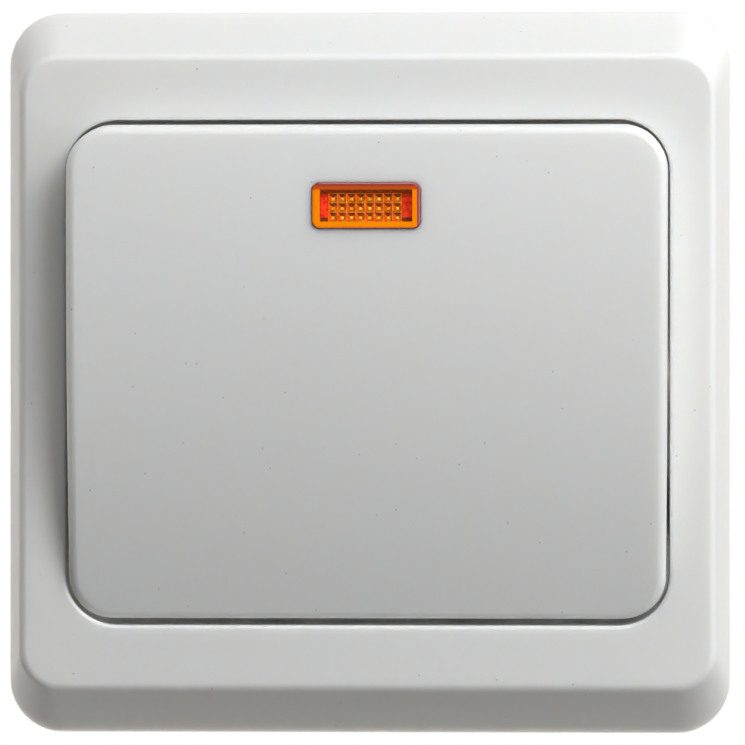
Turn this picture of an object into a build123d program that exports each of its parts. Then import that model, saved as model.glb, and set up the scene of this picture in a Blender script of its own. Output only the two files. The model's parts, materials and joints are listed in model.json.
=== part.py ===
from build123d import *
import math
import os

# A flush two-way rocker switch with an amber indicator window, in millimetres.
# X points right, Y points into the wall and Z points up. The wall plane is Y = 0.
# The switch is shown with the lower end of its rocker pressed in.

# Cover frame
FRAME_DEPTH = 9.0
FRAME_CORNER = 6.0
FRAME_WALL = 2.0
SIDE_SLOPE = 2.15
END_SLOPE = 5.65
FACE_CORNER = 4.4
FACE_ROUNDING = 1.0
OPENING_REACH = 5.55
OPENING_HEIGHT = 56.5
OPENING_CORNER = 5.8
OPENING_ROUNDING = 0.4
COLLAR_WALL = 1.2
COLLAR_BACK = 4.5
LUG_REACH = 3.2
LUG_HEIGHT = 7.0
LUG_THICKNESS = 2.0
LUG_RISE = 15.0

# Mounting plate and its holes
PLATE_RIM = 1.5
PLATE_GAP = 4.0
PLATE_CORNER = 5.0
PLATE_THICKNESS = 1.0
BOX_SCREW_SPACING = 60.0
BOX_SLOT_WIDTH = 4.0
BOX_SLOT_LENGTH = 7.0
FRAME_SCREW_GAP = 2.2

# Clearances
FIT = 0.05
THREAD_FIT = 0.02
SMALL_GAP = 0.1
MOULD_GAP = 0.2
BLOCK_GAP = 0.3
HOLE_GAP = 0.2

# Mechanism block behind the plate and its cover in front
BLOCK_WIDTH = 37.0
BLOCK_HEIGHT = 34.0
BLOCK_BACK = 20.0
BLOCK_CORNER = 2.0
FLANGE_RIM = 3.6
FLANGE_THICKNESS = 2.0
FLANGE_CORNER = 6.0
FLOOR_DEPTH = 12.0
COVER_RIM = 2.1
COVER_GAP = 1.2
COVER_THICKNESS = 2.0
COVER_CORNER = 4.0
WINDOW_GAP = 1.0
RIVET_GAP = 1.2
RIVET_Z = 13.0
RIVET_RADIUS = 1.2
RIVET_HEAD_RADIUS = 2.1
RIVET_HEAD = 0.9

# Rocker and its pivot
PIVOT_DEPTH = 8.5
HALF_TRAVEL = 5.0
ROCKER_CROWN = 5.45
ROCKER_CURVE = 130.0
ROCKER_GAP_X = 0.5
ROCKER_GAP_Z = 0.84
ROCKER_CORNER = 5.0
ROCKER_SKIN = 2.0
ROCKER_WALL = 1.5
ROCKER_DRAFT = 2.0
ROCKER_ROUNDING = 1.0
SKIRT_BACK = 3.0
RIB_X = 8.5
RIB_THICKNESS = 1.4
RIB_REACH = 15.0

# Carrier that tilts with the rocker
CARRIER_HALF_WIDTH = 15.8
CARRIER_HALF_HEIGHT = 13.0
CARRIER_THICKNESS = 1.8
HUB_RADIUS = 3.2
TRUNNION_RADIUS = 2.0
TRUNNION_FIT = 0.06
BARREL_WALL = 1.25
BARREL_LENGTH = 10.5
BORE_FLOOR = 1.5
CLIP_Z = 9.0
CLIP_WIDTH = 2.6
CLIP_THICKNESS = 1.4
CLIP_BARB = 0.6
CLIP_TIP = 1.2
EAR_GAP = 0.4
EAR_THICKNESS = 2.2
EAR_HALF_HEIGHT = 6.0
EAR_TIP = 2.0
EAR_MOUTH = 3.6

# Indicator lens
LENS_WIDTH = 12.0
LENS_HEIGHT = 5.1
LENS_CORNER = 0.9
LENS_Z = 18.8
LENS_DEPTH = 3.2
LENS_PROUD = 0.3
LENS_SKIN = 1.0
LENS_WALL = 0.9
LENS_ROUNDING = 0.3
PRISM_COLUMNS = 8
PRISM_ROWS = 3
PRISM_PITCH_X = 1.01
PRISM_PITCH_Z = 1.08
PRISM_HEIGHT = 0.4
PRISM_SLOPE = 45.0

# Plunger, its spring and the contact lever
PLUNGER_HEAD_RADIUS = 2.25
PLUNGER_HEAD_START = 6.0
PLUNGER_HEAD_LENGTH = 3.5
PLUNGER_RADIUS = 1.5
PLUNGER_TIP_GAP = 0.03
SPRING_WIRE = 0.4
SPRING_TURNS = 4
LEVER_RISE = 4.0
LEVER_HALF_TILT = 6.0
LEVER_WIDTH = 7.0
LEVER_CORNER = 1.2
LEVER_PAST = 0.5
LEVER_THICKNESS = 1.0
TAB_RADIUS = 0.8
TAB_PAST = 0.2
TAB_FIT = 0.06
LEVER_ROOM = 1.5
CONTACT_Z = 9.0
CONTACT_RADIUS = 1.5
CONTACT_DOME = 4.0
CONTACT_THICKNESS = 0.8
CONTACT_TOUCH = 0.06
FIXED_CONTACT_RADIUS = 1.8
STRIP_THICKNESS = 0.9
STRIP_WIDTH = 4.0
CRADLE_GAP = 0.4
CRADLE_THICKNESS = 0.8

# Wire terminals
TERMINAL_INSET_X = 5.5
TERMINAL_INSET_Z = 7.0
CAGE_SIDE = 6.6
CAGE_FRONT = 5.0
CAGE_WALL = 1.1
WIRE_RADIUS = 2.1
WIRE_WINDOW = 5.2
TERMINAL_SCREW_RADIUS = 1.5
TERMINAL_HEAD_RADIUS = 2.5
TERMINAL_HEAD = 1.6
TERMINAL_SCREW_LENGTH = 4.5
SCREW_SLOT_WIDTH = 0.6
SCREW_SLOT_DEPTH = 0.7

# Spreading claws
CLAW_SCREW_GAP = 0.5
CLAW_BOSS_GAP = 0.4
CLAW_PIN_DEPTH = 6.0
CLAW_PIN_RADIUS = 1.0
CLAW_PIN_FIT = 0.06
CLAW_EAR_THICKNESS = 2.0
CLAW_EAR_MARGIN = 2.5
CHEEK_INNER = 2.6
CHEEK_THICKNESS = 1.2
CLAW_BOSS_RADIUS = 2.4
CLAW_ARM_LENGTH = 13.0
CLAW_WEB_LENGTH = 5.0
CLAW_FOOT_REACH = 6.2
FOOT_INNER = 0.5
FOOT_HALF = 1.0
FOOT_TEETH = 3
CLAW_SWING = 30.0
NUT_ARM = 4.2
NUT_RADIUS = 2.4
NUT_PIN_RADIUS = 1.2
NUT_SLOT_FIT = 0.15
NUT_SLOT_WALL = 1.0
CLAW_SCREW_RADIUS = 1.5
CLAW_SCREW_SHORT = 2.5

# Screw heads
SCREW_HEAD_RADIUS = 2.8
SCREW_HEAD = 1.8
SCREW_HEAD_ROUNDING = 0.6
FRAME_SCREW_RADIUS = 1.5
FRAME_SCREW_PAST = 1.5
CROSS_DEPTH = 1.0
CROSS_WIDTH = 0.8
CROSS_SPAN = 3.2

# Indicator lamp
LAMP_DROP = 0.8
LAMP_RADIUS = 1.6
LAMP_LENGTH = 10.0
HOLDER_THICKNESS = 0.6
HOLDER_HEIGHT = 4.0
SADDLE_INSET = 1.5
RESISTOR_RADIUS = 1.2
RESISTOR_LENGTH = 6.5
RESISTOR_GAP = 0.6
RESISTOR_ROUNDING = 0.4
LEAD_RADIUS = 0.3
LEAD_INSET = 0.8
LEAD_HOLE_RADIUS = 0.8
LEAD_BEND = 0.9

# Places worked out from the sizes above
PLATE_SIDE = BOX_SCREW_SPACING + BOX_SLOT_LENGTH + 2 * PLATE_RIM
FRAME_SIDE = PLATE_SIDE + 2 * (PLATE_GAP + FRAME_WALL)
RIVET_X = BLOCK_WIDTH / 2 + RIVET_RADIUS + RIVET_GAP
FLANGE_WIDTH = 2 * (RIVET_X + FLANGE_RIM)
COVER_WIDTH = 2 * (RIVET_X + COVER_RIM)
FRAME_SCREW_X = FLANGE_WIDTH / 2 + FRAME_SCREW_RADIUS + FRAME_SCREW_GAP
OPENING_WIDTH = 2 * (FRAME_SCREW_X + OPENING_REACH)
PLATE_FRONT = -PLATE_THICKNESS
COVER_FRONT = PLATE_FRONT - COVER_THICKNESS
PIVOT_Y = -PIVOT_DEPTH
ROCKER_WIDTH = OPENING_WIDTH - 2 * ROCKER_GAP_X
ROCKER_HEIGHT = OPENING_HEIGHT - 2 * ROCKER_GAP_Z
CARRIER_FRONT = PIVOT_Y + SKIRT_BACK - CARRIER_THICKNESS
CARRIER_BACK = PIVOT_Y + SKIRT_BACK
ROCKER_CROWN_Y = PIVOT_Y - ROCKER_CROWN
CURVE_CENTRE_Y = ROCKER_CROWN_Y + ROCKER_CURVE
ROCKER_EDGE_Y = CURVE_CENTRE_Y - math.sqrt(ROCKER_CURVE**2 - (ROCKER_HEIGHT / 2) ** 2)
STRIP_FRONT = FLOOR_DEPTH - STRIP_THICKNESS
CAGE_MIDDLE = (CAGE_FRONT + STRIP_FRONT) / 2
TERMINAL_X = BLOCK_WIDTH / 2 - TERMINAL_INSET_X
TERMINAL_Z = BLOCK_HEIGHT / 2 - TERMINAL_INSET_Z
LEVER_DEPTH = FLOOR_DEPTH - LEVER_RISE
LEVER_LENGTH = 2 * (CONTACT_Z + CONTACT_RADIUS + LEVER_PAST)
TAB_END = LEVER_WIDTH / 2 + CRADLE_GAP + CRADLE_THICKNESS + TAB_PAST
TRUNNION_END = CARRIER_HALF_WIDTH + EAR_GAP + EAR_THICKNESS - SMALL_GAP
BORE_RADIUS = PLUNGER_HEAD_RADIUS + SMALL_GAP
BARREL_RADIUS = BORE_RADIUS + BARREL_WALL
CHEEK_OUTER = CHEEK_INNER + CHEEK_THICKNESS
CLAW_EAR_INNER = CHEEK_OUTER + MOULD_GAP
CLAW_EAR_OUTER = CLAW_EAR_INNER + CLAW_EAR_THICKNESS
CLAW_PIN_REACH = BLOCK_HEIGHT / 2 + CLAW_BOSS_RADIUS + CLAW_BOSS_GAP
CLAW_SCREW_REACH = CLAW_PIN_REACH + NUT_ARM
CLAW_SCREW_END = CLAW_PIN_DEPTH + CLAW_ARM_LENGTH - FOOT_HALF - CLAW_SCREW_SHORT
FLANGE_HEIGHT = 2 * (CLAW_SCREW_REACH - CLAW_SCREW_RADIUS - CLAW_SCREW_GAP)
COVER_HEIGHT = 2 * (CLAW_SCREW_REACH - SCREW_HEAD_RADIUS - COVER_GAP)
LAMP_Z = LENS_Z - LAMP_DROP
RESISTOR_START = LAMP_LENGTH / 2 + RESISTOR_GAP
RESISTOR_END = RESISTOR_START + RESISTOR_LENGTH
LEAD_X = RESISTOR_END + LEAD_BEND
LEAD_Z = TERMINAL_Z + CAGE_SIDE / 2 - LEAD_INSET
LAMP_Y = COVER_FRONT - HOLDER_THICKNESS - MOULD_GAP - LAMP_RADIUS
RESISTOR_Y = COVER_FRONT - HOLDER_THICKNESS - MOULD_GAP - RESISTOR_RADIUS
TERMINALS = [(TERMINAL_X, TERMINAL_Z), (-TERMINAL_X, TERMINAL_Z), (-TERMINAL_X, -TERMINAL_Z)]


def facing(y, x=0.0, z=0.0):
    return Plane(origin=(x, y, z), x_dir=(1, 0, 0), z_dir=(0, -1, 0))


def slab(width, height, front, back, x=0.0, z=0.0, corner=0.0):
    if corner > 0:
        outline = RectangleRounded(width, height, corner)
    else:
        outline = Rectangle(width, height)
    return extrude(facing(back, x, z) * outline, back - front)


def bar_y(radius, front, back, x=0.0, z=0.0):
    return extrude(facing(back, x, z) * Circle(radius), back - front)


def bar_x(radius, left, right, y, z):
    plane = Plane(origin=(left, y, z), x_dir=(0, 1, 0), z_dir=(1, 0, 0))
    return extrude(plane * Circle(radius), right - left)


def bar_z(radius, low, high, x, y):
    plane = Plane(origin=(x, y, low), x_dir=(1, 0, 0), z_dir=(0, 0, 1))
    return extrude(plane * Circle(radius), high - low)


def block(x_range, y_range, z_range):
    size = [high - low for low, high in (x_range, y_range, z_range)]
    middle = [(high + low) / 2 for low, high in (x_range, y_range, z_range)]
    return Pos(*middle) * Box(*size)


def tilted(shape, angle, pivot_y):
    there = Pos(0, pivot_y, 0) * Rot(angle, 0, 0) * Pos(0, -pivot_y, 0)
    return there * shape


def write(shape, name):
    solids = shape.solids()
    if len(solids) == 1:
        solids[0].label = name
        export_step(solids[0], f"parts/{name}.step")
    else:
        group = Compound(children=list(solids))
        group.label = name
        export_step(group, f"parts/{name}.step")


# Cover frame: a bevelled square shell with a collar round the opening
def frame_outline(depth, inset):
    share = depth / FRAME_DEPTH
    width = FRAME_SIDE - 2 * SIDE_SLOPE * share - 2 * inset
    height = FRAME_SIDE - 2 * END_SLOPE * share - 2 * inset
    corner = FRAME_CORNER + (FACE_CORNER - FRAME_CORNER) * share - inset
    return facing(-depth) * RectangleRounded(width, height, corner)


def cover_frame():
    outer = loft([frame_outline(0, 0), frame_outline(FRAME_DEPTH, 0)], ruled=True)
    rim = [edge for edge in outer.edges() if abs(edge.center().Y + FRAME_DEPTH) < SMALL_GAP]
    outer = fillet(rim, FACE_ROUNDING)
    inner_depth = FRAME_DEPTH - FRAME_WALL
    inner = loft([frame_outline(0, FRAME_WALL), frame_outline(inner_depth, FRAME_WALL)], ruled=True)
    shell = outer - inner
    collar_width = OPENING_WIDTH + 2 * COLLAR_WALL
    collar_height = OPENING_HEIGHT + 2 * COLLAR_WALL
    collar_corner = OPENING_CORNER + COLLAR_WALL
    shell += slab(collar_width, collar_height, -inner_depth, -COLLAR_BACK, corner=collar_corner)
    opening = slab(OPENING_WIDTH, OPENING_HEIGHT, -2 * FRAME_DEPTH, 0, corner=OPENING_CORNER)
    shell -= opening
    half_width = OPENING_WIDTH / 2 + SMALL_GAP
    lip = [
        edge for edge in shell.edges()
        if abs(edge.center().Y + FRAME_DEPTH) < SMALL_GAP and abs(edge.center().X) < half_width
        and abs(edge.center().Z) < OPENING_HEIGHT / 2 + SMALL_GAP
    ]
    shell = fillet(lip, OPENING_ROUNDING)
    lug_back = PLATE_FRONT
    lug_front = lug_back - LUG_THICKNESS
    lug_inner = FRAME_SCREW_X - LUG_REACH
    lug_outer = FRAME_SIDE / 2 - FRAME_WALL
    collar_outer = OPENING_WIDTH / 2 + COLLAR_WALL
    for side in (-1, 1):
        z = -side * LUG_RISE
        z_range = (z - LUG_HEIGHT / 2, z + LUG_HEIGHT / 2)
        lug_range = sorted((side * lug_inner, side * lug_outer))
        web_range = sorted((side * OPENING_WIDTH / 2, side * collar_outer))
        shell += block(lug_range, (lug_front, lug_back), z_range)
        shell += block(web_range, (-COLLAR_BACK, lug_back), z_range)
        shell -= bar_y(FRAME_SCREW_RADIUS + HOLE_GAP, lug_front, lug_back, side * FRAME_SCREW_X, z)
    return shell


def cross_head(x, z, front):
    cut = slab(CROSS_SPAN, CROSS_WIDTH, front, front + CROSS_DEPTH, x, z)
    return cut + slab(CROSS_WIDTH, CROSS_SPAN, front, front + CROSS_DEPTH, x, z)


def pan_screw(x, z, seat, end, radius):
    front = seat - SCREW_HEAD
    head = bar_y(SCREW_HEAD_RADIUS, front, seat, x, z)
    rim = [edge for edge in head.edges() if edge.center().Y < seat - SCREW_HEAD / 2]
    head = fillet(rim, SCREW_HEAD_ROUNDING) - cross_head(x, z, front)
    return head + bar_y(radius, seat, end, x, z)


def frame_screws():
    seat = PLATE_FRONT - LUG_THICKNESS
    return [
        pan_screw(side * FRAME_SCREW_X, -side * LUG_RISE, seat, FRAME_SCREW_PAST, FRAME_SCREW_RADIUS)
        for side in (-1, 1)
    ]


# Mounting plate: punched from one steel sheet
def mounting_plate():
    plate = slab(PLATE_SIDE, PLATE_SIDE, PLATE_FRONT, 0, corner=PLATE_CORNER)
    cut_width = BLOCK_WIDTH + 2 * BLOCK_GAP
    cut_height = BLOCK_HEIGHT + 2 * BLOCK_GAP
    plate -= slab(cut_width, cut_height, PLATE_FRONT, 0, corner=BLOCK_CORNER + BLOCK_GAP)
    for side in (-1, 1):
        slot = SlotOverall(BOX_SLOT_LENGTH, BOX_SLOT_WIDTH)
        plate -= extrude(facing(0, side * BOX_SCREW_SPACING / 2) * slot, PLATE_THICKNESS)
        plate -= bar_y(CLAW_SCREW_RADIUS + HOLE_GAP, PLATE_FRONT, 0, 0, side * CLAW_SCREW_REACH)
        screw_hole = FRAME_SCREW_RADIUS + THREAD_FIT
        plate -= bar_y(screw_hole, PLATE_FRONT, 0, side * FRAME_SCREW_X, -side * LUG_RISE)
        for end in (-1, 1):
            plate -= bar_y(RIVET_RADIUS + FIT, PLATE_FRONT, 0, side * RIVET_X, end * RIVET_Z)
    return plate


def plate_rivets():
    rivets = []
    for x in (-RIVET_X, RIVET_X):
        for z in (-RIVET_Z, RIVET_Z):
            rivet = bar_y(RIVET_RADIUS, COVER_FRONT, FLANGE_THICKNESS, x, z)
            rivet += bar_y(RIVET_HEAD_RADIUS, COVER_FRONT - RIVET_HEAD, COVER_FRONT, x, z)
            back = FLANGE_THICKNESS + RIVET_HEAD
            rivet += bar_y(RIVET_HEAD_RADIUS, FLANGE_THICKNESS, back, x, z)
            rivets.append(rivet)
    return rivets


# Outlines of the three contact strips, seen from the front
def bar_outline(left, right, low, high):
    return Pos((left + right) / 2, (low + high) / 2) * Rectangle(right - left, high - low)


def pad_outline(x, z):
    return Pos(x, z) * Rectangle(CAGE_SIDE, CAGE_SIDE)


def line_outline(end):
    reach = FIXED_CONTACT_RADIUS + MOULD_GAP
    middle = end * CONTACT_Z
    bar = bar_outline(-TERMINAL_X, reach, middle - STRIP_WIDTH / 2, middle + STRIP_WIDTH / 2)
    return pad_outline(-TERMINAL_X, end * TERMINAL_Z) + bar


def common_outline():
    leg_left = TERMINAL_X - CAGE_SIDE / 2
    leg = bar_outline(leg_left, leg_left + STRIP_WIDTH, -STRIP_WIDTH / 2, TERMINAL_Z)
    left = -(LEVER_WIDTH / 2 + CRADLE_GAP + CRADLE_THICKNESS)
    foot = bar_outline(left, leg_left + STRIP_WIDTH, -STRIP_WIDTH / 2, STRIP_WIDTH / 2)
    return pad_outline(TERMINAL_X, TERMINAL_Z) + leg + foot


def strip_plate(outline):
    return extrude(facing(FLOOR_DEPTH) * outline, STRIP_THICKNESS)


def wire_hole(x, z):
    return bar_y(WIRE_RADIUS, STRIP_FRONT, FLOOR_DEPTH, x, z)


def line_strip(end):
    return strip_plate(line_outline(end)) - wire_hole(-TERMINAL_X, end * TERMINAL_Z)


def common_strip():
    strip = strip_plate(common_outline()) - wire_hole(TERMINAL_X, TERMINAL_Z)
    cradle_front = LEVER_DEPTH - TAB_RADIUS - SMALL_GAP
    notch = TAB_RADIUS + TAB_FIT
    for side in (-1, 1):
        inner = LEVER_WIDTH / 2 + CRADLE_GAP
        x_range = sorted((side * inner, side * (inner + CRADLE_THICKNESS)))
        cheek = block(x_range, (cradle_front, STRIP_FRONT), (-STRIP_WIDTH / 2, STRIP_WIDTH / 2))
        cheek -= bar_x(notch, *x_range, LEVER_DEPTH, 0)
        cheek -= block(x_range, (cradle_front, LEVER_DEPTH), (-notch, notch))
        strip += cheek
    return strip


# Mechanism block: moulded, open to the front, with wire windows at the back
def turned(shape, end):
    return Rot(0, -90 * end, 0) * shape


def claw_ear(side):
    z_range = sorted((side * CLAW_EAR_INNER, side * CLAW_EAR_OUTER))
    reach = CLAW_PIN_REACH + CLAW_EAR_MARGIN
    depth = CLAW_PIN_DEPTH + CLAW_EAR_MARGIN
    ear = block((BLOCK_HEIGHT / 2, reach), (0, depth), z_range)
    corner = ear.edges().filter_by(Axis.Z).sort_by(lambda edge: edge.center().X + edge.center().Y)[-1]
    ear = fillet([corner], CLAW_EAR_MARGIN / 2)
    return ear - bar_z(CLAW_PIN_RADIUS + THREAD_FIT, *z_range, CLAW_PIN_REACH, CLAW_PIN_DEPTH)


def mechanism_base():
    body = slab(BLOCK_WIDTH, BLOCK_HEIGHT, PLATE_FRONT, BLOCK_BACK, corner=BLOCK_CORNER)
    rim = [edge for edge in body.edges() if abs(edge.center().Y - BLOCK_BACK) < SMALL_GAP]
    body = chamfer(rim, BLOCK_CORNER / 2)
    body += slab(FLANGE_WIDTH, FLANGE_HEIGHT, 0, FLANGE_THICKNESS, corner=FLANGE_CORNER)
    for side in (-1, 1):
        for end in (-1, 1):
            body += turned(claw_ear(side), end)
            rivet_hole = RIVET_RADIUS + FIT
            body -= bar_y(rivet_hole, 0, FLANGE_THICKNESS, side * RIVET_X, end * RIVET_Z)
    pocket_side = CAGE_SIDE + 2 * MOULD_GAP
    for x, z in TERMINALS:
        body -= slab(pocket_side, pocket_side, PLATE_FRONT, FLOOR_DEPTH, x, z)
        body -= slab(WIRE_WINDOW, WIRE_WINDOW, FLOOR_DEPTH, BLOCK_BACK, x, z)
        top = math.copysign(BLOCK_HEIGHT / 2, z)
        access = TERMINAL_HEAD_RADIUS + BLOCK_GAP
        body -= bar_z(access, min(z, top), max(z, top), x, CAGE_MIDDLE)
    lever_room = 2 * (TAB_END + BLOCK_GAP)
    body -= slab(lever_room, LEVER_LENGTH + 2 * LEVER_ROOM, PLATE_FRONT, FLOOR_DEPTH)
    for outline in (line_outline(1), line_outline(-1), common_outline()):
        pocket = offset(outline, MOULD_GAP, kind=Kind.INTERSECTION)
        body -= extrude(facing(FLOOR_DEPTH) * pocket, FLOOR_DEPTH - PLATE_FRONT)
    return body


# Mechanism cover with the two bearing ears that the rocker snaps into
def bearing_ear(side):
    inner = CARRIER_HALF_WIDTH + EAR_GAP
    x_range = sorted((side * inner, side * (inner + EAR_THICKNESS)))
    tip = PIVOT_Y - EAR_TIP
    ear = block(x_range, (tip, COVER_FRONT), (-EAR_HALF_HEIGHT, EAR_HALF_HEIGHT))
    ear = fillet(ear.edges().filter_by(Axis.X).sort_by(Axis.Y)[:2], EAR_TIP)
    ear -= bar_x(TRUNNION_RADIUS + TRUNNION_FIT, *x_range, PIVOT_Y, 0)
    return ear - block(x_range, (tip, PIVOT_Y), (-EAR_MOUTH / 2, EAR_MOUTH / 2))


def mechanism_cover():
    cover = slab(COVER_WIDTH, COVER_HEIGHT, COVER_FRONT, PLATE_FRONT, corner=COVER_CORNER)
    swing = PIVOT_DEPTH * math.sin(math.radians(HALF_TRAVEL))
    window = 2 * (BARREL_RADIUS + WINDOW_GAP)
    cover -= slab(window, window + 2 * swing, COVER_FRONT, PLATE_FRONT)
    for side in (-1, 1):
        cover += bearing_ear(side)
        cover -= bar_y(LEAD_HOLE_RADIUS, COVER_FRONT, PLATE_FRONT, side * LEAD_X, LEAD_Z)
        for end in (-1, 1):
            rivet_hole = RIVET_RADIUS + FIT
            cover -= bar_y(rivet_hole, COVER_FRONT, PLATE_FRONT, side * RIVET_X, end * RIVET_Z)
    return cover


# Rocker button: a drafted cap with a crowned face, shown level here
def rocker_form(inset, radius):
    flare = (CARRIER_BACK - ROCKER_EDGE_Y) * math.tan(math.radians(ROCKER_DRAFT))
    width = ROCKER_WIDTH + 2 * (flare - inset)
    height = ROCKER_HEIGHT + 2 * (flare - inset)
    outline = facing(CARRIER_BACK) * RectangleRounded(width, height, ROCKER_CORNER - inset)
    form = extrude(outline, SKIRT_BACK + 2 * ROCKER_CROWN, taper=ROCKER_DRAFT)
    return form & bar_x(radius, -width, width, CURVE_CENTRE_Y, 0)


def clip_leg(side, end):
    near = CLIP_Z - CLIP_THICKNESS / 2
    far = CLIP_Z + CLIP_THICKNESS / 2
    catch = CARRIER_BACK + FIT
    tip = CARRIER_BACK + CLIP_TIP
    root = CARRIER_FRONT - CLIP_THICKNESS
    profile = [
        (root, end * near), (tip, end * near), (tip, end * far),
        (catch, end * (far + CLIP_BARB)), (catch, end * far), (root, end * far),
    ]
    left = side * RIB_X - CLIP_WIDTH / 2
    plane = Plane(origin=(left, 0, 0), x_dir=(0, 1, 0), z_dir=(1, 0, 0))
    return extrude(plane * Polygon(*profile, align=None), CLIP_WIDTH, dir=(1, 0, 0))


def lens_plane(lift):
    lean = math.asin(LENS_Z / ROCKER_CURVE)
    radius = ROCKER_CURVE + lift
    y = CURVE_CENTRE_Y - radius * math.cos(lean)
    z = radius * math.sin(lean)
    return Plane(origin=(0, y, z), x_dir=(1, 0, 0), z_dir=(0, -math.cos(lean), math.sin(lean)))


def lens_prism(grow, low, high):
    width = LENS_WIDTH + 2 * grow
    height = LENS_HEIGHT + 2 * grow
    corner = max(LENS_CORNER + grow, SMALL_GAP)
    outline = lens_plane(low) * RectangleRounded(width, height, corner)
    return extrude(outline, high - low)


def rocker_button():
    cap = rocker_form(0, ROCKER_CURVE)
    rim = [edge for edge in cap.edges() if edge.center().Y < ROCKER_EDGE_Y + SMALL_GAP]
    cap = fillet(rim, ROCKER_ROUNDING)
    cavity = rocker_form(ROCKER_WALL, ROCKER_CURVE - ROCKER_SKIN)
    for side in (-1, 1):
        x_range = (side * RIB_X - RIB_THICKNESS / 2, side * RIB_X + RIB_THICKNESS / 2)
        rib = block(x_range, (PIVOT_Y - ROCKER_CROWN, CARRIER_FRONT - FIT), (-RIB_REACH, RIB_REACH))
        rib -= bar_x(HUB_RADIUS + FIT, *x_range, PIVOT_Y, 0)
        cavity -= rib
    cap -= cavity
    for side in (-1, 1):
        for end in (-1, 1):
            cap += clip_leg(side, end)
    cap -= lens_prism(FIT, -LENS_DEPTH - ROCKER_SKIN, LENS_PROUD + ROCKER_SKIN)
    return cap


def indicator_lens():
    lens = lens_prism(0, -LENS_DEPTH, LENS_PROUD)
    front = lens_plane(LENS_PROUD)
    rim = lens.edges().filter_by(lambda edge: abs(front.to_local_coords(edge.center()).Z) < SMALL_GAP)
    lens = fillet(rim, LENS_ROUNDING)
    lens -= lens_prism(-LENS_WALL, -LENS_DEPTH, LENS_PROUD - LENS_SKIN)
    skin = lens_plane(LENS_PROUD - LENS_SKIN)
    base = Plane(origin=skin.origin, x_dir=skin.x_dir, z_dir=-skin.z_dir)
    cell = Rectangle(PRISM_PITCH_X, PRISM_PITCH_Z)
    for place in GridLocations(PRISM_PITCH_X, PRISM_PITCH_Z, PRISM_COLUMNS, PRISM_ROWS):
        lens += extrude(base * place * cell, PRISM_HEIGHT, taper=PRISM_SLOPE)
    return lens


# Carrier, plunger and spring, shown level here
def rocker_carrier():
    width = 2 * CARRIER_HALF_WIDTH
    height = 2 * CARRIER_HALF_HEIGHT
    carrier = slab(width, height, CARRIER_FRONT, CARRIER_BACK, corner=COVER_CORNER)
    carrier += bar_x(HUB_RADIUS, -CARRIER_HALF_WIDTH, CARRIER_HALF_WIDTH, PIVOT_Y, 0)
    carrier += bar_x(TRUNNION_RADIUS, -TRUNNION_END, TRUNNION_END, PIVOT_Y, 0)
    carrier += bar_y(BARREL_RADIUS, PIVOT_Y, PIVOT_Y + BARREL_LENGTH)
    carrier -= bar_y(BORE_RADIUS, PIVOT_Y + BORE_FLOOR, PIVOT_Y + BARREL_LENGTH)
    hole_width = CLIP_WIDTH + 2 * SMALL_GAP
    hole_height = CLIP_THICKNESS + 2 * SMALL_GAP
    for x in (-RIB_X, RIB_X):
        for z in (-CLIP_Z, CLIP_Z):
            carrier -= slab(hole_width, hole_height, CARRIER_FRONT, CARRIER_BACK, x, z)
    return carrier


def plunger():
    head = PIVOT_Y + PLUNGER_HEAD_START
    shoulder = head + PLUNGER_HEAD_LENGTH
    tip = LEVER_DEPTH - LEVER_THICKNESS / 2 - PLUNGER_TIP_GAP - PLUNGER_RADIUS
    body = bar_y(PLUNGER_HEAD_RADIUS, head, shoulder)
    return body + bar_y(PLUNGER_RADIUS, shoulder, tip) + Pos(0, tip, 0) * Sphere(PLUNGER_RADIUS)


def plunger_spring():
    start = PIVOT_Y + BORE_FLOOR + SPRING_WIRE / 2
    length = PLUNGER_HEAD_START - BORE_FLOOR - SPRING_WIRE
    radius = PLUNGER_HEAD_RADIUS - SPRING_WIRE
    coil = Helix(length / SPRING_TURNS, length, radius, center=(0, start, 0), direction=(0, 1, 0))
    return sweep(Plane(origin=coil @ 0, z_dir=coil % 0) * Circle(SPRING_WIRE / 2), path=coil)


# Contact lever and contacts
def contact_lever():
    half = LEVER_THICKNESS / 2
    lever = slab(LEVER_WIDTH, LEVER_LENGTH, LEVER_DEPTH - half, LEVER_DEPTH + half, corner=LEVER_CORNER)
    root = LEVER_WIDTH / 2 - TAB_RADIUS
    lever += bar_x(TAB_RADIUS, root, TAB_END, LEVER_DEPTH, 0)
    return lever + bar_x(TAB_RADIUS, -TAB_END, -root, LEVER_DEPTH, 0)


def moving_contacts():
    back = LEVER_DEPTH + LEVER_THICKNESS / 2
    tip = back + CONTACT_THICKNESS
    dome = Pos(0, tip - CONTACT_DOME, 0) * Sphere(CONTACT_DOME)
    contact = bar_y(CONTACT_RADIUS, back, tip) & dome
    return [Pos(0, 0, -CONTACT_Z) * contact, Pos(0, 0, CONTACT_Z) * contact]


def fixed_contacts():
    tilt = math.radians(LEVER_HALF_TILT)
    dome_centre = LEVER_THICKNESS / 2 + CONTACT_THICKNESS - CONTACT_DOME
    reach = dome_centre * math.cos(tilt) + CONTACT_Z * math.sin(tilt) + CONTACT_DOME
    front = LEVER_DEPTH + reach + CONTACT_TOUCH
    return [bar_y(FIXED_CONTACT_RADIUS, front, STRIP_FRONT, 0, z) for z in (-CONTACT_Z, CONTACT_Z)]


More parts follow.
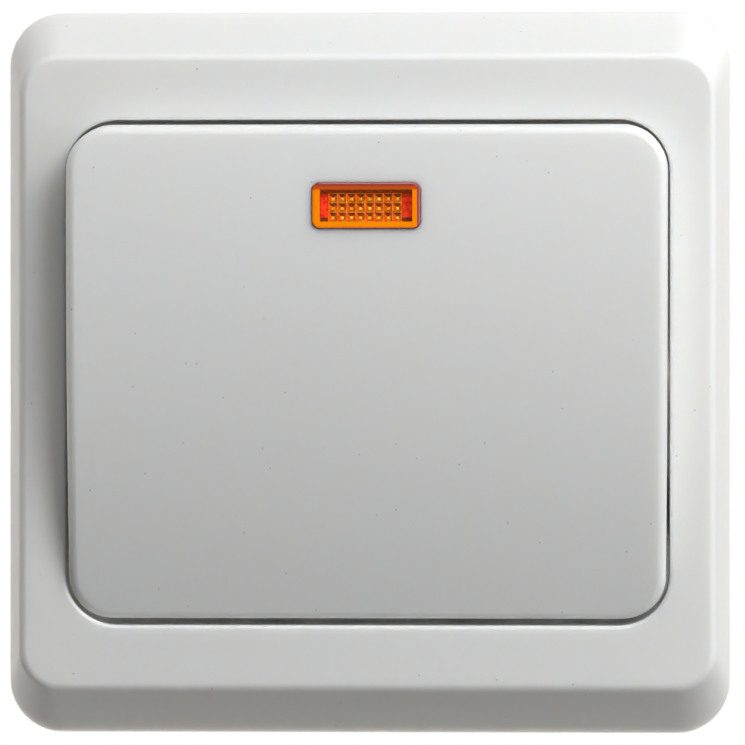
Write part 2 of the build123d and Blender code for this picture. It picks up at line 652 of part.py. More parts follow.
# Wire terminals
def terminal_cages():
    cages = []
    inside = CAGE_SIDE - 2 * CAGE_WALL
    for x, z in TERMINALS:
        cage = slab(CAGE_SIDE, CAGE_SIDE, CAGE_FRONT, STRIP_FRONT, x, z, CAGE_WALL / 2)
        cage -= slab(inside, inside, CAGE_FRONT + CAGE_WALL, STRIP_FRONT, x, z)
        wall = z + math.copysign(CAGE_SIDE / 2, z)
        hole = TERMINAL_SCREW_RADIUS + THREAD_FIT
        cage -= bar_z(hole, min(z, wall), max(z, wall), x, CAGE_MIDDLE)
        cages.append(cage)
    return cages


def terminal_screws():
    seat = TERMINAL_Z + CAGE_SIDE / 2 + BLOCK_GAP
    top = seat + TERMINAL_HEAD
    end = seat - TERMINAL_SCREW_LENGTH
    screw = bar_z(TERMINAL_HEAD_RADIUS, seat, top, 0, CAGE_MIDDLE)
    screw += bar_z(TERMINAL_SCREW_RADIUS, end, seat, 0, CAGE_MIDDLE)
    half = SCREW_SLOT_WIDTH / 2
    y_range = (CAGE_MIDDLE - half, CAGE_MIDDLE + half)
    x_range = (-TERMINAL_HEAD_RADIUS, TERMINAL_HEAD_RADIUS)
    screw -= block(x_range, y_range, (top - SCREW_SLOT_DEPTH, top))
    lower = mirror(screw, about=Plane.XY)
    return [Pos(x, 0, 0) * (screw if z > 0 else lower) for x, z in TERMINALS]


# Spreading claws, drawn lying to the right and then turned to the top and the bottom
def claw_cheek():
    slide = NUT_ARM / math.cos(math.radians(CLAW_SWING))
    slot = NUT_PIN_RADIUS + NUT_SLOT_FIT
    tail = slot + NUT_SLOT_WALL
    shape = Circle(CLAW_BOSS_RADIUS) + bar_outline(0, slide, -tail, tail)
    shape += Pos(slide, 0) * Circle(tail)
    arm = [
        (-CLAW_BOSS_RADIUS, 0), (FOOT_INNER, CLAW_ARM_LENGTH + FOOT_HALF),
        (FOOT_INNER + CLAW_BOSS_RADIUS, CLAW_ARM_LENGTH + FOOT_HALF), (CLAW_BOSS_RADIUS, 0),
    ]
    shape += Polygon(*arm, align=None)
    shape -= Circle(CLAW_PIN_RADIUS + CLAW_PIN_FIT)
    shape -= bar_outline(NUT_ARM, slide, -slot, slot)
    shape -= Pos(NUT_ARM, 0) * Circle(slot)
    return shape - Pos(slide, 0) * Circle(slot)


def claw_foot():
    low = CLAW_ARM_LENGTH - FOOT_HALF
    high = CLAW_ARM_LENGTH + FOOT_HALF
    shape = bar_outline(FOOT_INNER, CLAW_FOOT_REACH, low, high)
    pitch = 2 * FOOT_HALF / FOOT_TEETH
    for tooth in range(FOOT_TEETH):
        start = low + tooth * pitch
        corners = [
            (CLAW_FOOT_REACH, start), (CLAW_FOOT_REACH + pitch, start + pitch / 2),
            (CLAW_FOOT_REACH, start + pitch),
        ]
        shape += Polygon(*corners, align=None)
    return shape


def claw_layer(outline, low, high):
    plane = Plane(origin=(CLAW_PIN_REACH, CLAW_PIN_DEPTH, low))
    return extrude(plane * outline, high - low, dir=(0, 0, 1))


def claw():
    shape = claw_layer(claw_cheek(), CHEEK_INNER, CHEEK_OUTER)
    shape += claw_layer(claw_cheek(), -CHEEK_OUTER, -CHEEK_INNER)
    shape += claw_layer(claw_foot(), -CHEEK_OUTER, CHEEK_OUTER)
    inner = -CLAW_BOSS_RADIUS
    web = bar_outline(inner, inner + CHEEK_OUTER - CHEEK_INNER, 0, CLAW_WEB_LENGTH)
    return shape + claw_layer(web, -CHEEK_OUTER, CHEEK_OUTER)


def claw_nut():
    half = CHEEK_INNER - MOULD_GAP
    nut = bar_z(NUT_RADIUS, -half, half, CLAW_SCREW_REACH, CLAW_PIN_DEPTH)
    end = CHEEK_OUTER + SMALL_GAP
    nut += bar_z(NUT_PIN_RADIUS, -end, end, CLAW_SCREW_REACH, CLAW_PIN_DEPTH)
    low = CLAW_PIN_DEPTH - NUT_RADIUS
    high = CLAW_PIN_DEPTH + NUT_RADIUS
    return nut - bar_y(CLAW_SCREW_RADIUS + FIT, low, high, CLAW_SCREW_REACH)


def claw_pins():
    ends = (-CLAW_EAR_OUTER, CLAW_EAR_OUTER)
    places = (-CLAW_PIN_REACH, CLAW_PIN_REACH)
    return [bar_x(CLAW_PIN_RADIUS, *ends, CLAW_PIN_DEPTH, z) for z in places]


def claw_screws():
    places = (-CLAW_SCREW_REACH, CLAW_SCREW_REACH)
    return [pan_screw(0, z, PLATE_FRONT, CLAW_SCREW_END, CLAW_SCREW_RADIUS) for z in places]


# Indicator lamp on the mechanism cover
def lamp_holder():
    half = HOLDER_HEIGHT / 2
    z_range = (LAMP_Z - half, LAMP_Z + half)
    x_range = (-LAMP_LENGTH / 2, RESISTOR_END)
    holder = block(x_range, (COVER_FRONT - HOLDER_THICKNESS, COVER_FRONT), z_range)
    saddles = [
        (-LAMP_LENGTH / 2 + SADDLE_INSET, LAMP_Y, LAMP_RADIUS),
        (LAMP_LENGTH / 2 - SADDLE_INSET, LAMP_Y, LAMP_RADIUS),
        (RESISTOR_START + RESISTOR_LENGTH / 2, RESISTOR_Y, RESISTOR_RADIUS),
    ]
    for x, centre, radius in saddles:
        x_range = (x - HOLDER_THICKNESS, x + HOLDER_THICKNESS)
        saddle = block(x_range, (centre, COVER_FRONT - HOLDER_THICKNESS), z_range)
        holder += saddle - bar_x(radius + FIT, *x_range, centre, LAMP_Z)
    return holder


def neon_lamp():
    lamp = bar_x(LAMP_RADIUS, -LAMP_LENGTH / 2, LAMP_LENGTH / 2, LAMP_Y, LAMP_Z)
    return fillet(lamp.edges().filter_by(GeomType.CIRCLE), LAMP_RADIUS / 2)


def ballast_resistor():
    body = bar_x(RESISTOR_RADIUS, RESISTOR_START, RESISTOR_END, RESISTOR_Y, LAMP_Z)
    return fillet(body.edges().filter_by(GeomType.CIRCLE), RESISTOR_ROUNDING)


def lead(points):
    path = FilletPolyline(*points, radius=LEAD_BEND)
    return sweep(Plane(origin=path @ 0, z_dir=path % 0) * Circle(LEAD_RADIUS), path=path)


def lamp_leads():
    low = COVER_FRONT - LEAD_RADIUS - SMALL_GAP
    left = lead([
        (-LAMP_LENGTH / 2, LAMP_Y, LAMP_Z), (-LEAD_X + LEAD_BEND, LAMP_Y, LAMP_Z),
        (-LEAD_X, low, LAMP_Z - 2 * LEAD_BEND), (-LEAD_X, low, LEAD_Z), (-LEAD_X, CAGE_FRONT, LEAD_Z),
    ])
    right = lead([
        (RESISTOR_END, RESISTOR_Y, LAMP_Z), (LEAD_X + LEAD_BEND, RESISTOR_Y, LAMP_Z),
        (LEAD_X, low, LAMP_Z - 2 * LEAD_BEND), (LEAD_X, low, LEAD_Z), (LEAD_X, CAGE_FRONT, LEAD_Z),
    ])
    link = bar_x(LEAD_RADIUS, LAMP_LENGTH / 2, RESISTOR_START, RESISTOR_Y, LAMP_Z)
    return [left, right, link]


# Every piece, with the moving ones brought to where the photographed switch rests
def with_rocker(shape):
    return tilted(shape, HALF_TRAVEL, PIVOT_Y)


def with_lever(shape):
    return tilted(shape, -LEVER_HALF_TILT, LEVER_DEPTH)


def gather(shapes):
    return Compound(children=[solid for shape in shapes for solid in shape.solids()])


write(cover_frame(), "cover_frame")
write(gather(frame_screws()), "frame_screws")
write(mounting_plate(), "mounting_plate")
write(gather(plate_rivets()), "plate_rivets")
write(mechanism_base(), "mechanism_base")
write(mechanism_cover(), "mechanism_cover")
write(with_rocker(rocker_button()), "rocker_button")
write(with_rocker(indicator_lens()), "indicator_lens")
write(with_rocker(rocker_carrier()), "rocker_carrier")
write(with_rocker(plunger()), "plunger")
write(with_rocker(plunger_spring()), "plunger_spring")
write(with_lever(contact_lever()), "contact_lever")
write(with_lever(gather(moving_contacts())), "moving_contacts")
write(gather(fixed_contacts()), "fixed_contacts")
write(line_strip(1), "line_strip_1")
write(line_strip(-1), "line_strip_2")
write(common_strip(), "common_strip")
write(gather(terminal_cages()), "terminal_cages")
write(gather(terminal_screws()), "terminal_screws")
write(turned(claw(), 1), "top_claw")
write(turned(claw(), -1), "bottom_claw")
write(turned(claw_nut(), 1), "top_claw_nut")
write(turned(claw_nut(), -1), "bottom_claw_nut")
write(gather(claw_pins()), "claw_pins")
write(gather(claw_screws()), "claw_screws")
write(lamp_holder(), "lamp_holder")
write(neon_lamp(), "neon_lamp")
write(ballast_resistor(), "ballast_resistor")
write(gather(lamp_leads()), "lamp_leads")
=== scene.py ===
import json
import math

import bpy
from mathutils import Matrix, Vector


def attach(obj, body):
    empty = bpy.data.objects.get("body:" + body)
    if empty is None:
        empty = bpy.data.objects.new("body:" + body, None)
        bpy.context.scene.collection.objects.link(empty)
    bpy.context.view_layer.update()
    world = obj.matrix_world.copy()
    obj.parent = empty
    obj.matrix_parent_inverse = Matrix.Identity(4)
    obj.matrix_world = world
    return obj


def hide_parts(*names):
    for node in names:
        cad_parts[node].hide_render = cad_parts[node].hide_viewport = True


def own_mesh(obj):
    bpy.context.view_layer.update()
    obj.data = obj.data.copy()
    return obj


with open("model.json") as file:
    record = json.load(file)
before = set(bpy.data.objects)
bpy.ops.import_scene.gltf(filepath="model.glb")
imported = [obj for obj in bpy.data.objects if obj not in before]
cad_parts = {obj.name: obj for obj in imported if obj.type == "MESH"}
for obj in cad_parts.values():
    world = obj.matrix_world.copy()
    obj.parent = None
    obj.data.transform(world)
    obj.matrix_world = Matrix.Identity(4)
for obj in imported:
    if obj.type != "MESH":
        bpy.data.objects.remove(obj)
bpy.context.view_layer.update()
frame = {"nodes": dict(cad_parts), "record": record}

MM = 0.001

# Sizes in millimetres of the rocker, its spring and its lens, as in the CAD part
PIVOT_Y = -8.5
ROCKER_FRONT_Y = -13.95
ROCKER_CURVE = 130.0
ROCKER_TILT = math.radians(5)
LENS_Z = 18.8
LENS_WIDTH = 12.0
LENS_HEIGHT = 5.1
LENS_CORNER = 0.9
LENS_DEPTH = 3.2
LENS_PROUD = 0.3
LENS_ROUNDING = 0.3

# Steps in the lens's rounded edge and round its corners
ROUNDING_STEPS = 4
CORNER_STEPS = 6

# Sizes in millimetres of the lens's window and what lies in it, with heights from the lens's own plane
WINDOW_WIDTH = 10.2
WINDOW_HEIGHT = 3.6
WINDOW_CORNER = 0.12
WINDOW_BACK = -3.0
WINDOW_FLOOR = -0.8
FRONT_THICKNESS = 0.15
FRONT_GAP = 0.02
GRID_FRONT = -0.62
GRID_SHIFT_X = -0.13
GRID_SHIFT_Z = -0.14
END_GAP = 0.06
END_HEIGHT = 3.1
END_SLANT = 0.9
PRISM_FRONT = -0.25
PRISM_COLUMNS = 8
PRISM_ROWS = 3
PRISM_PITCH_X = 1.01
PRISM_PITCH_Z = 1.04
PRISM_LINE = 0.06
PRISM_TIP = 0.3
PRISM_LEAN_X = 0.05
PRISM_LEAN_Z = -0.13

# How far each block reaches into what it stands on
SINK = 0.02

# Materials of a block's back, right, upper, left, lower and front face
WINDOW_FLOOR_LOOKS = ["amber_floor"] * 6
GRID_LOOKS = ["amber_line"] * 6
# End blocks: painted shade, crimson on the upper face and dark on the lower face
END_LOOKS = ["amber_red", "amber_red", "amber_crimson", "amber_red", "amber_dark", "amber_red"]
# Pyramids: painted light and shade, a dark upper facet, brown right, flame left, gold lower and bright
# front
PRISM_LOOKS = ["amber_dark", "amber_brown", "amber_dark", "amber_flame", "amber_gold", "amber_bright"]
FRONT_LOOKS = ["amber_clear"] * 6

# How many of the ring's bands are dark, counted from the back of its outer wall; the dark is painted shade
# along the lens's outer edge
DARK_BANDS = 3


# Node helpers

# The range in which most of a noise texture's values lie
NOISE_LOW = 0.3
NOISE_HIGH = 0.7

# Colour sockets of the Mix node by number, because their names repeat
MIX_FACTOR = 0
MIX_FIRST = 6
MIX_SECOND = 7
MIX_RESULT = 2


class Shader:
    """A new material and its nodes."""

    def __init__(self, name):
        self.material = bpy.data.materials.new(name)
        self.material.use_nodes = True
        self.tree = self.material.node_tree
        self.surface = self.tree.nodes["Principled BSDF"]
        self.place = self.add("ShaderNodeTexCoord").outputs["Object"]

    def add(self, kind, **settings):
        node = self.tree.nodes.new(kind)
        for key, value in settings.items():
            setattr(node, key, value)
        return node

    def link(self, source, target):
        self.tree.links.new(source, target)

    def fill(self, socket, value):
        """Gives the socket a number, a colour or another node's output."""
        if isinstance(value, (int, float)):
            socket.default_value = value
        elif isinstance(value, tuple):
            socket.default_value = (*value, 1.0)
        else:
            self.link(value, socket)

    def noise(self, scale, detail=2.0, roughness=0.5):
        node = self.add("ShaderNodeTexNoise")
        node.inputs["Scale"].default_value = scale
        node.inputs["Detail"].default_value = detail
        node.inputs["Roughness"].default_value = roughness
        self.link(self.place, node.inputs["Vector"])
        return node.outputs["Fac"]

    def ramp(self, source, stops):
        node = self.add("ShaderNodeValToRGB")
        while len(node.color_ramp.elements) < len(stops):
            node.color_ramp.elements.new(0.5)
        for element, (position, color) in zip(node.color_ramp.elements, stops):
            element.position = position
            element.color = (*color, 1.0)
        self.link(source, node.inputs["Fac"])
        return node.outputs["Color"]

    def span(self, source, low, high, from_low=NOISE_LOW, from_high=NOISE_HIGH):
        node = self.add("ShaderNodeMapRange")
        node.inputs["From Min"].default_value = from_low
        node.inputs["From Max"].default_value = from_high
        node.inputs["To Min"].default_value = low
        node.inputs["To Max"].default_value = high
        self.link(source, node.inputs["Value"])
        return node.outputs["Result"]

    def math(self, operation, first, second):
        node = self.add("ShaderNodeMath", operation=operation)
        self.fill(node.inputs[0], first)
        self.fill(node.inputs[1], second)
        return node.outputs["Value"]

    def mix(self, factor, first, second):
        node = self.add("ShaderNodeMix", data_type="RGBA")
        self.fill(node.inputs[MIX_FACTOR], factor)
        self.fill(node.inputs[MIX_FIRST], first)
        self.fill(node.inputs[MIX_SECOND], second)
        return node.outputs[MIX_RESULT]

    def bump(self, height, distance, strength):
        node = self.add("ShaderNodeBump")
        node.inputs["Strength"].default_value = strength
        node.inputs["Distance"].default_value = distance
        self.link(height, node.inputs["Height"])
        self.link(node.outputs["Normal"], self.surface.inputs["Normal"])

    def set(self, **values):
        """Fills sockets of the surface, with _ for each space in a socket's name."""
        for key, value in values.items():
            self.fill(self.surface.inputs[key.replace("_", " ")], value)


def specks(shader, cells, radius, share):
    """1 on a speck, 0 elsewhere: balls in a share of the cells, which show where the surface cuts them."""
    voronoi = shader.add("ShaderNodeTexVoronoi")
    voronoi.inputs["Scale"].default_value = cells
    shader.link(shader.place, voronoi.inputs["Vector"])
    near = shader.math("LESS_THAN", voronoi.outputs["Distance"], radius)
    split = shader.add("ShaderNodeSeparateColor")
    shader.link(voronoi.outputs["Color"], split.inputs["Color"])
    chosen = shader.math("LESS_THAN", split.outputs["Red"], share)
    return shader.math("MULTIPLY", near, chosen)


# Materials

# White plastic: its two tints
WHITE_COOL = (0.89, 0.90, 0.895)
WHITE_WARM = (0.90, 0.90, 0.885)

# Its specks: colour, cells to a metre, radius in cells and share of the cells that have one
SPECK_COLOR = (0.60, 0.59, 0.58)
SPECK_CELLS = 420.0
SPECK_RADIUS = 0.04
SPECK_SHARE = 0.7

# How far light spreads in it, in metres, and the share of that way for red, green and blue
SPREAD_DEPTH = 0.0014
SPREAD_BY_COLOR = (1.0, 0.92, 0.84)

# Plain plastics: darkest colour, lightest colour and roughness
PLAIN_PLASTICS = {
    "grey_plastic": ((0.17, 0.175, 0.18), (0.21, 0.21, 0.215), 0.5),
    "carrier_plastic": ((0.66, 0.64, 0.57), (0.72, 0.70, 0.64), 0.4),
    "plunger_plastic": ((0.015, 0.015, 0.015), (0.03, 0.03, 0.03), 0.35),
    "resistor_body": ((0.48, 0.38, 0.24), (0.56, 0.45, 0.30), 0.3),
}

# Metals: darkest colour, lightest colour, roughness and grains to a metre
METALS = {
    "galvanised_steel": ((0.45, 0.46, 0.47), (0.66, 0.67, 0.68), 0.38, 220.0),
    "zinc_steel": ((0.60, 0.61, 0.63), (0.72, 0.73, 0.75), 0.25, 500.0),
    "spring_steel": ((0.40, 0.40, 0.42), (0.55, 0.55, 0.57), 0.22, 700.0),
    "brass": ((0.66, 0.46, 0.18), (0.78, 0.58, 0.26), 0.28, 400.0),
    "silver": ((0.80, 0.79, 0.77), (0.90, 0.89, 0.87), 0.2, 600.0),
    "tinned_wire": ((0.62, 0.62, 0.62), (0.75, 0.75, 0.74), 0.3, 800.0),
}

# See-through mouldings: colour and roughness
CLEAR_PLASTICS = {
    "lamp_glass": ((0.95, 0.86, 0.80), 0.03),
    "amber_lens": ((0.98, 0.34, 0.02), 0.05),
}

# Faces of the lens: darkest colour, lightest colour, glow and roughness. They are lit and shaded copies of
# the one amber moulding, so each colour holds painted light and shade, and each glow is painted light.
AMBER_FACES = {
    "amber_edge": ((0.34, 0.02, 0.01), (0.42, 0.035, 0.015), 0.05, 0.12),
    "amber_wall": ((0.46, 0.21, 0.09), (0.56, 0.27, 0.12), 0.2, 0.25),
    "amber_floor": ((0.30, 0.02, 0.005), (0.42, 0.035, 0.005), 0.1, 0.25),
    "amber_line": ((0.70, 0.18, 0.015), (0.98, 0.42, 0.05), 0.34, 0.25),
    "amber_red": ((0.62, 0.004, 0.006), (1.0, 0.05, 0.016), 0.42, 0.25),
    "amber_crimson": ((0.55, 0.0, 0.012), (0.68, 0.002, 0.018), 0.32, 0.25),
    "amber_dark": ((0.06, 0.002, 0.002), (0.26, 0.012, 0.004), 0.02, 0.25),
    "amber_brown": ((0.28, 0.04, 0.0), (0.60, 0.13, 0.004), 0.14, 0.25),
    "amber_flame": ((0.90, 0.08, 0.0), (1.0, 0.19, 0.0), 0.55, 0.25),
    "amber_gold": ((0.60, 0.14, 0.004), (0.92, 0.31, 0.015), 0.32, 0.25),
    "amber_bright": ((0.62, 0.26, 0.01), (1.0, 0.62, 0.08), 0.45, 0.25),
}

# The lens's rim: heights in metres that its colours run between, share of that way and colour. The brownish
# and purplish red towards the upper edge is painted reflection, not the amber's own colour.
RIM_LOW = 0.0158
RIM_HIGH = 0.0209
RIM_COLORS = [
    (0.0, (1.0, 0.26, 0.0)),
    (0.83, (1.0, 0.23, 0.0)),
    (0.865, (0.60, 0.08, 0.004)),
    (0.93, (0.48, 0.07, 0.01)),
    (0.945, (0.25, 0.03, 0.035)),
    (1.0, (0.24, 0.03, 0.04)),
]
# The rim's glow is painted light
RIM_GLOW = 0.29

# The strip along the rim's right side, a painted reflection: where it starts, in metres, and its colour
REFLECTION_STRIP_START = 0.00562
REFLECTION_STRIP_COLOR = (0.27, 0.055, 0.07)

# The lens's clear front: its two tints and how much of it shows
FRONT_AMBER = (0.90, 0.24, 0.03)
FRONT_RED = (0.90, 0.20, 0.02)
FRONT_ALPHA = 0.05


def white_plastic(name):
    """Satin plastic with a slight change of tint, small specks and light that spreads under its surface."""
    shader = Shader(name)
    clouds = shader.noise(scale=35.0, detail=3.0)
    tint = shader.ramp(clouds, [(NOISE_LOW, WHITE_COOL), (NOISE_HIGH, WHITE_WARM)])
    marks = specks(shader, SPECK_CELLS, SPECK_RADIUS, SPECK_SHARE)
    shader.set(Base_Color=shader.mix(marks, tint, SPECK_COLOR))
    shader.set(Roughness=shader.span(shader.noise(scale=900.0, detail=3.0), low=0.45, high=0.54))
    shader.set(IOR=1.5)
    shader.set(Subsurface_Weight=1.0, Subsurface_Scale=SPREAD_DEPTH)
    shader.surface.inputs["Subsurface Radius"].default_value = SPREAD_BY_COLOR
    grain = shader.noise(scale=1600.0, detail=3.0, roughness=0.6)
    shader.bump(grain, distance=0.00001, strength=0.35)
    return shader.material


def plain_plastic(name, dark, light, roughness):
    shader = Shader(name)
    clouds = shader.noise(scale=60.0, detail=4.0)
    shader.set(Base_Color=shader.ramp(clouds, [(NOISE_LOW, dark), (NOISE_HIGH, light)]))
    shader.set(Roughness=shader.span(shader.noise(scale=700.0), roughness - 0.06, roughness + 0.06))
    shader.bump(shader.noise(scale=2500.0, detail=4.0), distance=0.00002, strength=0.5)
    return shader.material


def metal(name, dark, light, roughness, grain):
    shader = Shader(name)
    tint = shader.ramp(shader.noise(grain, detail=5.0, roughness=0.7), [(0.35, dark), (0.65, light)])
    shader.set(Base_Color=tint, Metallic=1.0)
    shader.set(Roughness=shader.span(shader.noise(grain * 3, detail=4.0), roughness - 0.1, roughness + 0.1))
    shader.bump(shader.noise(grain * 8, detail=4.0), distance=0.00002, strength=0.4)
    return shader.material


def clear_plastic(name, color, roughness):
    shader = Shader(name)
    darker = tuple(0.93 * part for part in color)
    shader.set(Base_Color=shader.mix(shader.noise(scale=400.0), color, darker))
    shader.set(Roughness=shader.span(shader.noise(scale=1500.0), roughness, roughness + 0.06))
    shader.set(Transmission_Weight=1.0, IOR=1.49)
    return shader.material


def amber_face(name, dark, light, glow, roughness):
    """A face of the lens, coloured with painted light and shade for how light falls on it. Its glow is
    painted light that stands for the light that the amber plastic gathers.
    """
    shader = Shader(name)
    tint = shader.ramp(shader.noise(scale=2600.0), [(0.38, dark), (0.62, light)])
    shader.set(Base_Color=tint, Emission_Color=tint, Emission_Strength=glow)
    shader.set(Roughness=shader.span(shader.noise(scale=1500.0), roughness, roughness + 0.08))
    shader.set(Coat_Weight=0.4, Coat_Roughness=0.08)
    return shader.material


def amber_rim(name):
    """Bright orange that turns to brownish red towards the upper edge and along the right side, in painted
    reflection. Its glow is painted light.
    """
    shader = Shader(name)
    split = shader.add("ShaderNodeSeparateXYZ")
    shader.link(shader.place, split.inputs[0])
    rise = shader.span(split.outputs["Z"], 0.0, 1.0, from_low=RIM_LOW, from_high=RIM_HIGH)
    right = shader.math("GREATER_THAN", split.outputs["X"], REFLECTION_STRIP_START)
    tint = shader.mix(right, shader.ramp(rise, RIM_COLORS), REFLECTION_STRIP_COLOR)
    shader.set(Base_Color=tint, Emission_Color=tint, Emission_Strength=RIM_GLOW)
    shader.set(Roughness=shader.span(shader.noise(scale=1500.0), low=0.16, high=0.24))
    shader.set(Coat_Weight=0.5, Coat_Roughness=0.05)
    return shader.material


def amber_clear(name):
    shader = Shader(name)
    shader.set(Base_Color=shader.mix(shader.noise(scale=400.0), FRONT_AMBER, FRONT_RED))
    shader.set(Roughness=shader.span(shader.noise(scale=1500.0), low=0.05, high=0.09))
    shader.set(Alpha=FRONT_ALPHA)
    return shader.material


MATERIALS = {
    "white_plastic": white_plastic("white_plastic"),
    "amber_rim": amber_rim("amber_rim"),
    "amber_clear": amber_clear("amber_clear"),
}
for maker, table in (
    (plain_plastic, PLAIN_PLASTICS),
    (metal, METALS),
    (clear_plastic, CLEAR_PLASTICS),
    (amber_face, AMBER_FACES),
):
    for key, values in table.items():
        MATERIALS[key] = maker(key, *values)


def dress_nodes():
    """Gives each CAD node the material of its slot."""
    slots = {row["node"]: row["material_slot"] for row in frame["record"]["subparts"]}
    for name, node in frame["nodes"].items():
        node.data.materials.clear()
        node.data.materials.append(MATERIALS[slots[name]])


def squash_spring():
    """Gives the spring in the rocker's barrel a mesh of its own."""
    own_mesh(frame["nodes"]["plunger_spring"])


# Indicator lens: an amber ring, a thin clear front, red end blocks and rows of small pyramids

def lens_place():
    """From the lens's own plane, with Z out of the front, to the row frame at rest."""
    lean = math.asin(LENS_Z / ROCKER_CURVE)
    across, out = math.sin(lean), math.cos(lean)
    upright = Matrix((
        (1, 0, 0, 0),
        (0, across, -out, ROCKER_FRONT_Y + ROCKER_CURVE * (1 - out)),
        (0, out, across, ROCKER_CURVE * across),
        (0, 0, 0, 1),
    ))
    pivot = Matrix.Translation((0, PIVOT_Y, 0))
    return pivot @ Matrix.Rotation(ROCKER_TILT, 4, "X") @ pivot.inverted() @ upright


def lens_piece(name, points, faces, looks):
    """A piece of the lens from points in its own plane, with the name of a material for each face."""
    place = lens_place()
    mesh = bpy.data.meshes.new(name)
    mesh.from_pydata([place @ Vector(point) * MM for point in points], [], faces)
    keys = list(dict.fromkeys(looks))
    for key in keys:
        mesh.materials.append(MATERIALS[key])
    for polygon, look in zip(mesh.polygons, looks):
        polygon.material_index = keys.index(look)
    piece = bpy.data.objects.new(name, mesh)
    bpy.context.collection.objects.link(piece)
    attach(piece, "rocker")
    return piece


def rounded_outline(width, height, corner):
    outline = []
    for turn, (side, end) in enumerate(((1, 1), (-1, 1), (-1, -1), (1, -1))):
        for step in range(CORNER_STEPS + 1):
            angle = math.radians(90 * (turn + step / CORNER_STEPS))
            x = side * (width / 2 - corner) + corner * math.cos(angle)
            y = end * (height / 2 - corner) + corner * math.sin(angle)
            outline.append((x, y))
    return outline


def lens_outline(inset):
    return rounded_outline(LENS_WIDTH - 2 * inset, LENS_HEIGHT - 2 * inset, LENS_CORNER - inset)


def lens_ring():
    """Loops run from the back of the outer wall over the rounded front edge and down the window's wall."""
    loops = [(lens_outline(0.0), -LENS_DEPTH)]
    for step in range(ROUNDING_STEPS + 1):
        angle = math.pi / 2 * step / ROUNDING_STEPS
        inset = LENS_ROUNDING * (1 - math.cos(angle))
        loops.append((lens_outline(inset), LENS_PROUD - LENS_ROUNDING * (1 - math.sin(angle))))
    window = rounded_outline(WINDOW_WIDTH, WINDOW_HEIGHT, WINDOW_CORNER)
    loops += [(window, LENS_PROUD), (window, -LENS_DEPTH)]

    # The dark bands are painted shade on the outer wall and the outer part of the rounded edge; the
    # window's wall gets amber_wall, an olive-brown painted shade
    bright_bands = len(loops) - DARK_BANDS - 2
    bands = ["amber_edge"] * DARK_BANDS + ["amber_rim"] * bright_bands + ["amber_wall", "amber_rim"]
    points, faces, looks = [], [], []
    for outline, height in loops:
        points += [(x, y, height) for x, y in outline]
    count = len(window)
    for band, look in enumerate(bands):
        follower = (band + 1) % len(loops)
        for index in range(count):
            after = (index + 1) % count
            faces.append((band * count + index, band * count + after,
                          follower * count + after, follower * count + index))
            looks.append(look)
    return lens_piece("lens_ring", points, faces, looks)


class Blocks:
    """Closed blocks in the lens's own plane."""

    def __init__(self):
        self.points = []
        self.faces = []
        self.looks = []

    def add(self, centre, base, top, heights, looks, lean=(0, 0)):
        """A block from its back to its front, which may be smaller and moved by lean."""
        first = len(self.points)
        tip = (centre[0] + lean[0], centre[1] + lean[1])
        for (middle_x, middle_y), (width, height), level in zip((centre, tip), (base, top), heights):
            for x, y in ((1, -1), (1, 1), (-1, 1), (-1, -1)):
                self.points.append((middle_x + x * width / 2, middle_y + y * height / 2, level))
        self.faces.append((first + 3, first + 2, first + 1, first))
        for index in range(4):
            after = (index + 1) % 4
            self.faces.append((first + index, first + after, first + 4 + after, first + 4 + index))
        self.faces.append((first + 4, first + 5, first + 6, first + 7))
        self.looks += looks


def add_end_blocks(blocks, grid_width, heights):
    """A red block in the window at each end of the grid, sloped towards its upper and lower edge."""
    for side in (-1, 1):
        inner = side * (grid_width / 2 + END_GAP) + GRID_SHIFT_X
        outer = side * (WINDOW_WIDTH / 2 - END_GAP)
        width = abs(outer - inner)
        centre = ((inner + outer) / 2, GRID_SHIFT_Z)
        blocks.add(centre, (width, END_HEIGHT), (width, END_HEIGHT - END_SLANT), heights, END_LOOKS)


def add_pyramids(blocks):
    base = (PRISM_PITCH_X - PRISM_LINE, PRISM_PITCH_Z - PRISM_LINE)
    tip = (PRISM_TIP, PRISM_TIP)
    heights = (GRID_FRONT - SINK, PRISM_FRONT)
    lean = (PRISM_LEAN_X, PRISM_LEAN_Z)
    for column in range(PRISM_COLUMNS):
        x = GRID_SHIFT_X + (column - (PRISM_COLUMNS - 1) / 2) * PRISM_PITCH_X
        for row in range(PRISM_ROWS):
            z = GRID_SHIFT_Z + (row - (PRISM_ROWS - 1) / 2) * PRISM_PITCH_Z
            blocks.add((x, z), base, tip, heights, PRISM_LOOKS, lean)


def lens_inside():
    """The floor of the window with the grid's plate, the end blocks and the pyramids on it."""
    blocks = Blocks()
    window = (WINDOW_WIDTH, WINDOW_HEIGHT)
    grid = (PRISM_COLUMNS * PRISM_PITCH_X, PRISM_ROWS * PRISM_PITCH_Z)
    heights = (WINDOW_FLOOR - SINK, GRID_FRONT)
    blocks.add((0, 0), window, window, (WINDOW_BACK, WINDOW_FLOOR), WINDOW_FLOOR_LOOKS)
    blocks.add((GRID_SHIFT_X, GRID_SHIFT_Z), grid, grid, heights, GRID_LOOKS)
    add_end_blocks(blocks, grid[0], heights)
    add_pyramids(blocks)
    return lens_piece("lens_prisms", blocks.points, blocks.faces, blocks.looks)


def lens_front():
    blocks = Blocks()
    size = (WINDOW_WIDTH - 2 * FRONT_GAP, WINDOW_HEIGHT - 2 * FRONT_GAP)
    blocks.add((0, 0), size, size, (LENS_PROUD - FRONT_THICKNESS, LENS_PROUD), FRONT_LOOKS)
    return lens_piece("lens_front", blocks.points, blocks.faces, blocks.looks)


def make_lens():
    ring = lens_ring()
    lens_inside()
    lens_front()
    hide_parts("indicator_lens")


# Floor, background, lights and camera, with sizes in metres
FLOOR_DROP = 0.75
FLOOR_SIZE = 11.0
FLOOR_GLOW = 0.8
FLOOR_GLOW_COLOR = (0.97, 0.98, 1.0)
FLOOR_COOL = (0.86, 0.86, 0.86)
FLOOR_WARM = (0.88, 0.88, 0.87)

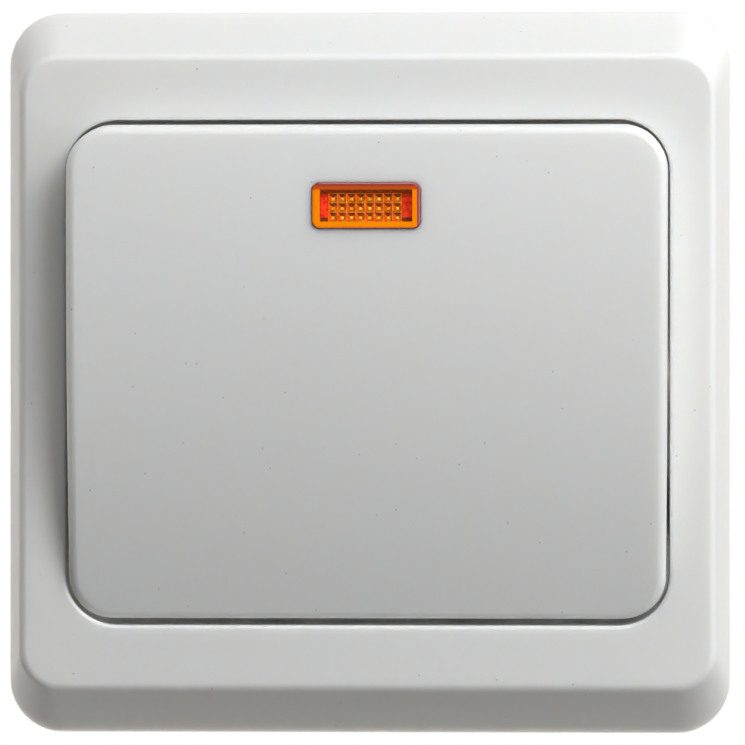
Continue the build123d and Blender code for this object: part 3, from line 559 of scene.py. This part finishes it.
# Name, direction from the object, distance, side, watts and colour of each square light
LIGHTS = [
    ("key_light", (0.55, -0.60, 0.60), 0.70, 0.35, 3.08, (0.985, 0.995, 1.0)),
    ("front_light", (0.0, -0.60, 0.80), 0.70, 0.35, 0.80, (0.985, 0.995, 1.0)),
    ("side_light", (0.85, -0.50, 0.0), 0.50, 0.30, 0.69, (0.98, 0.99, 1.0)),
    ("top_light", (0.20, -0.30, 1.0), 0.60, 0.30, 0.92, (1.0, 1.0, 1.0)),
    ("left_light", (-0.95, 0.25, 0.15), 0.70, 0.35, 1.45, (1.0, 0.985, 0.95)),
    ("rear_light", (0.0, 1.0, 0.0), 0.50, 0.90, 4.2, (1.0, 0.96, 0.92)),
]

# The camera stands a little to the right of the object and sees VIEW_WIDTH in the wall's plane
VIEW_DISTANCE = 0.420
VIEW_OFFSET = 0.0105
VIEW_WIDTH = 0.08486
AIM_X = 0.00037
SENSOR_MM = 36.0


def make_floor():
    """A pale floor far below the object. It glows for the camera, because the lights hardly reach it."""
    half = FLOOR_SIZE / 2
    corners = [(x * half, y * half, -FLOOR_DROP) for x, y in ((-1, -1), (1, -1), (1, 1), (-1, 1))]
    mesh = bpy.data.meshes.new("floor")
    mesh.from_pydata(corners, [], [(0, 1, 2, 3)])
    floor = bpy.data.objects.new("floor", mesh)
    bpy.context.collection.objects.link(floor)
    shader = Shader("floor")
    seen = shader.add("ShaderNodeLightPath").outputs["Is Camera Ray"]
    glow = shader.math("MULTIPLY", seen, FLOOR_GLOW)
    shader.set(Base_Color=shader.mix(shader.noise(scale=2.0), FLOOR_COOL, FLOOR_WARM), Roughness=0.9)
    shader.set(Emission_Color=FLOOR_GLOW_COLOR, Emission_Strength=glow)
    mesh.materials.append(shader.material)


def make_world():
    """White where the camera sees it. It lights nothing."""
    world = bpy.data.worlds.new("studio")
    bpy.context.scene.world = world
    world.use_nodes = True
    tree = world.node_tree
    tree.nodes.clear()
    output = tree.nodes.new("ShaderNodeOutputWorld")
    white = tree.nodes.new("ShaderNodeBackground")
    path = tree.nodes.new("ShaderNodeLightPath")
    white.inputs["Color"].default_value = (1.0, 1.0, 1.0, 1.0)
    tree.links.new(path.outputs["Is Camera Ray"], white.inputs["Strength"])
    tree.links.new(white.outputs[0], output.inputs["Surface"])


def make_lights():
    for name, direction, distance, side, watts, color in LIGHTS:
        data = bpy.data.lights.new(name, "AREA")
        data.shape = "SQUARE"
        data.size = side
        data.energy = watts
        data.color = color
        light = bpy.data.objects.new(name, data)
        bpy.context.collection.objects.link(light)
        light.location = Vector(direction).normalized() * distance
        light.rotation_euler = (-light.location).to_track_quat("-Z", "Y").to_euler()


def make_camera():
    data = bpy.data.cameras.new("camera")
    camera = bpy.data.objects.new("camera", data)
    bpy.context.collection.objects.link(camera)
    data.sensor_width = SENSOR_MM
    data.lens = SENSOR_MM * VIEW_DISTANCE / VIEW_WIDTH
    camera.location = (VIEW_OFFSET, -VIEW_DISTANCE, 0)
    aim = Vector((AIM_X, 0, 0)) - camera.location
    camera.rotation_mode = "QUATERNION"
    camera.rotation_quaternion = aim.to_track_quat("-Z", "Y")
    bpy.context.scene.camera = camera


bpy.context.scene.view_settings.view_transform = "Standard"
dress_nodes()
squash_spring()
make_lens()
make_floor()
make_world()
make_lights()
make_camera()
